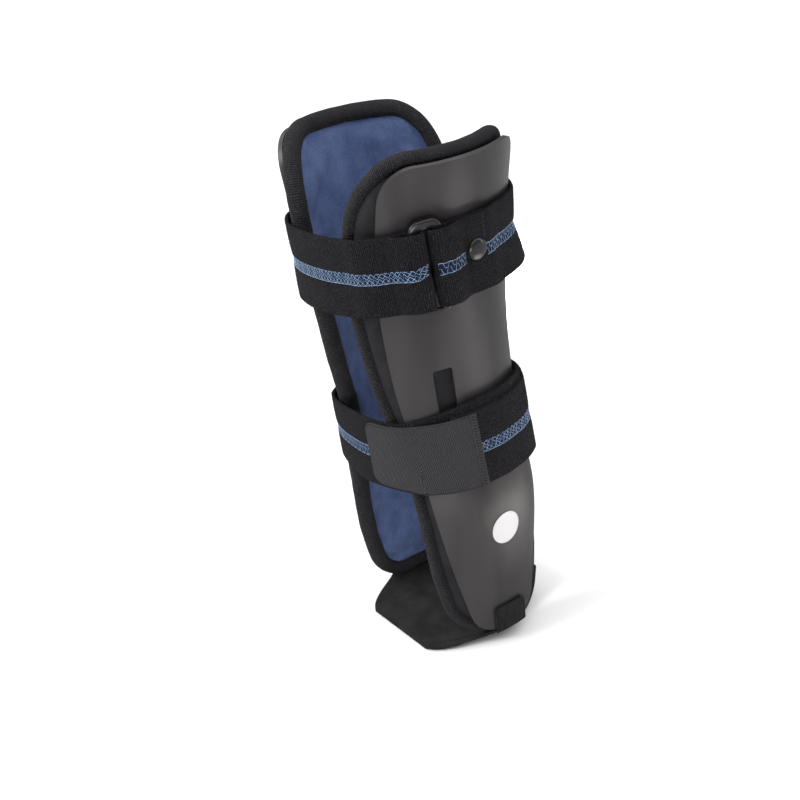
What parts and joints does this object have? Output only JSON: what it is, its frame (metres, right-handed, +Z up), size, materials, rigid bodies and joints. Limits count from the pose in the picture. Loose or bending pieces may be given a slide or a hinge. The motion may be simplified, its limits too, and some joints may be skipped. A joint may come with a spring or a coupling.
{
  "type": "ankle stabilizer brace",
  "caption": "Stirrup ankle brace with stiff side shells, padded fleece-lined liners, a heel strap under the foot and hook-and-loop straps round the leg.",
  "frame": {"origin": "on the ground, in the middle of the heel strap's flat sole part, below the middle of the leg", "axes": "+X towards the outer side of the leg, -Y towards the toes, +Z up along the leg"},
  "size_m": [0.1157, 0.1053, 0.2608],
  "materials": {
    "shell_plastic": "satin dark warm grey",
    "pad_cover": "black knit over foam",
    "blue_fleece": "short blue fleece",
    "binding_knit": "black ribbed knit",
    "loop_webbing": "black loop-pile webbing with a light blue stitched band",
    "hardware_plastic": "glossy dark grey",
    "hook_tape": "dark grey grainy weave",
    "paper": "smooth white paper"
  },
  "bodies": {
    "root": {"lateral_shell": "shell_plastic", "lateral_pad": "pad_cover", "lateral_lining": "blue_fleece", "lateral_binding": "binding_knit", "medial_shell": "shell_plastic", "medial_pad": "pad_cover", "medial_lining": "blue_fleece", "medial_binding": "binding_knit", "heel_strap": "loop_webbing", "upper_strap": "loop_webbing", "strap_ring": "hardware_plastic", "strap_rivet": "hardware_plastic", "lower_strap": "loop_webbing", "hook_tab": "hook_tape", "round_sticker": "paper"}
  },
  "joints": []
}
